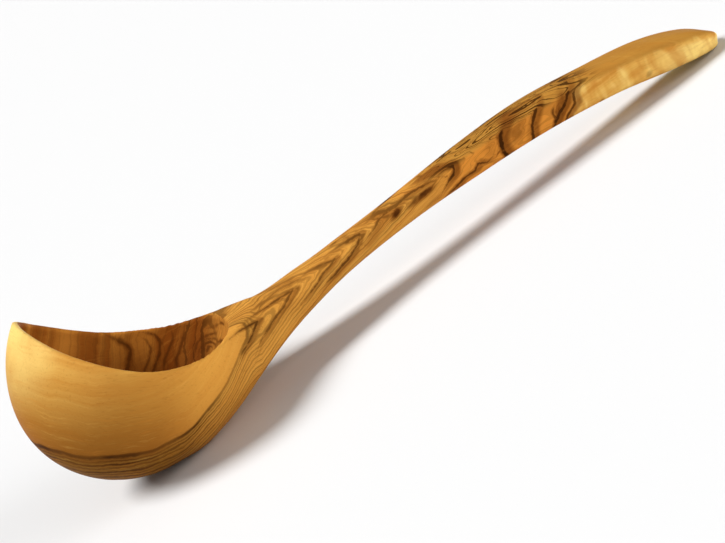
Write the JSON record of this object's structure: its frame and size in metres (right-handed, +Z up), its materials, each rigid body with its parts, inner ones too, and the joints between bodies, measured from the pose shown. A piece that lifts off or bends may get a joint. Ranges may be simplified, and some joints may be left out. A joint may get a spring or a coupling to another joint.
{
  "type": "wooden ladle",
  "caption": "Soup ladle carved from one piece of olive wood: deep round bowl, flared neck, curved shaft and flat rounded grip.",
  "frame": {"origin": "middle of the ladle's box, on the table that it lies on: the bowl's underside and the lower edge of the grip's end touch Z = 0", "axes": "+X from the bowl to the end of the grip, +Z up from the table, Y across the ladle, which is symmetric about Y = 0"},
  "size_m": [0.3295, 0.092, 0.0847],
  "materials": {
    "olive_wood": "oiled satin olive wood with dark figure"
  },
  "bodies": {
    "root": {"bowl": "olive_wood", "neck": "olive_wood", "shaft": "olive_wood", "grip": "olive_wood"}
  },
  "joints": []
}
